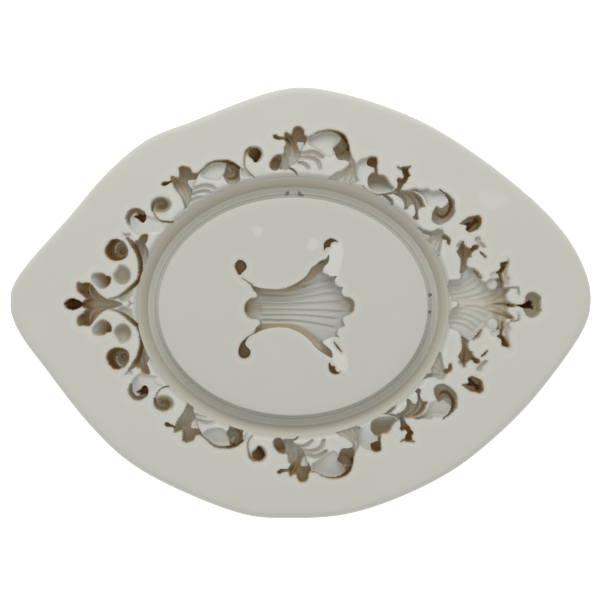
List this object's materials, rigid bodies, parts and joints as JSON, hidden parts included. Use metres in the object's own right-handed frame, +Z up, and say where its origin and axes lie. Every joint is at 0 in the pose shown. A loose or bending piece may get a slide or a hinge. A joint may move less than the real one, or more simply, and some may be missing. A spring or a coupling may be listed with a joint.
{
  "type": "resin casting mould",
  "caption": "Lens-shaped silicone slab mould with an oval ring channel, scrollwork cavities around it and a fluted crest in the central island.",
  "frame": {"origin": "centre of the slab's flat underside", "axes": "+X along the slab towards the shell and round knob end, +Y across the slab, +Z up out of the open cavity"},
  "size_m": [0.13, 0.0966, 0.013],
  "materials": {
    "silicone_body": "satin grey-cream silicone rubber, soft highlights",
    "silicone_cavity": "the same silicone where the cavity is deep, satin and slightly browner"
  },
  "bodies": {
    "root": {"back_web": "silicone_body", "outer_surround": "silicone_body", "ring_channel_bed": "silicone_cavity", "centre_island": "silicone_body", "crest_bed": "silicone_cavity", "shell_bed": "silicone_cavity", "palmette_bed": "silicone_cavity"}
  },
  "joints": []
}
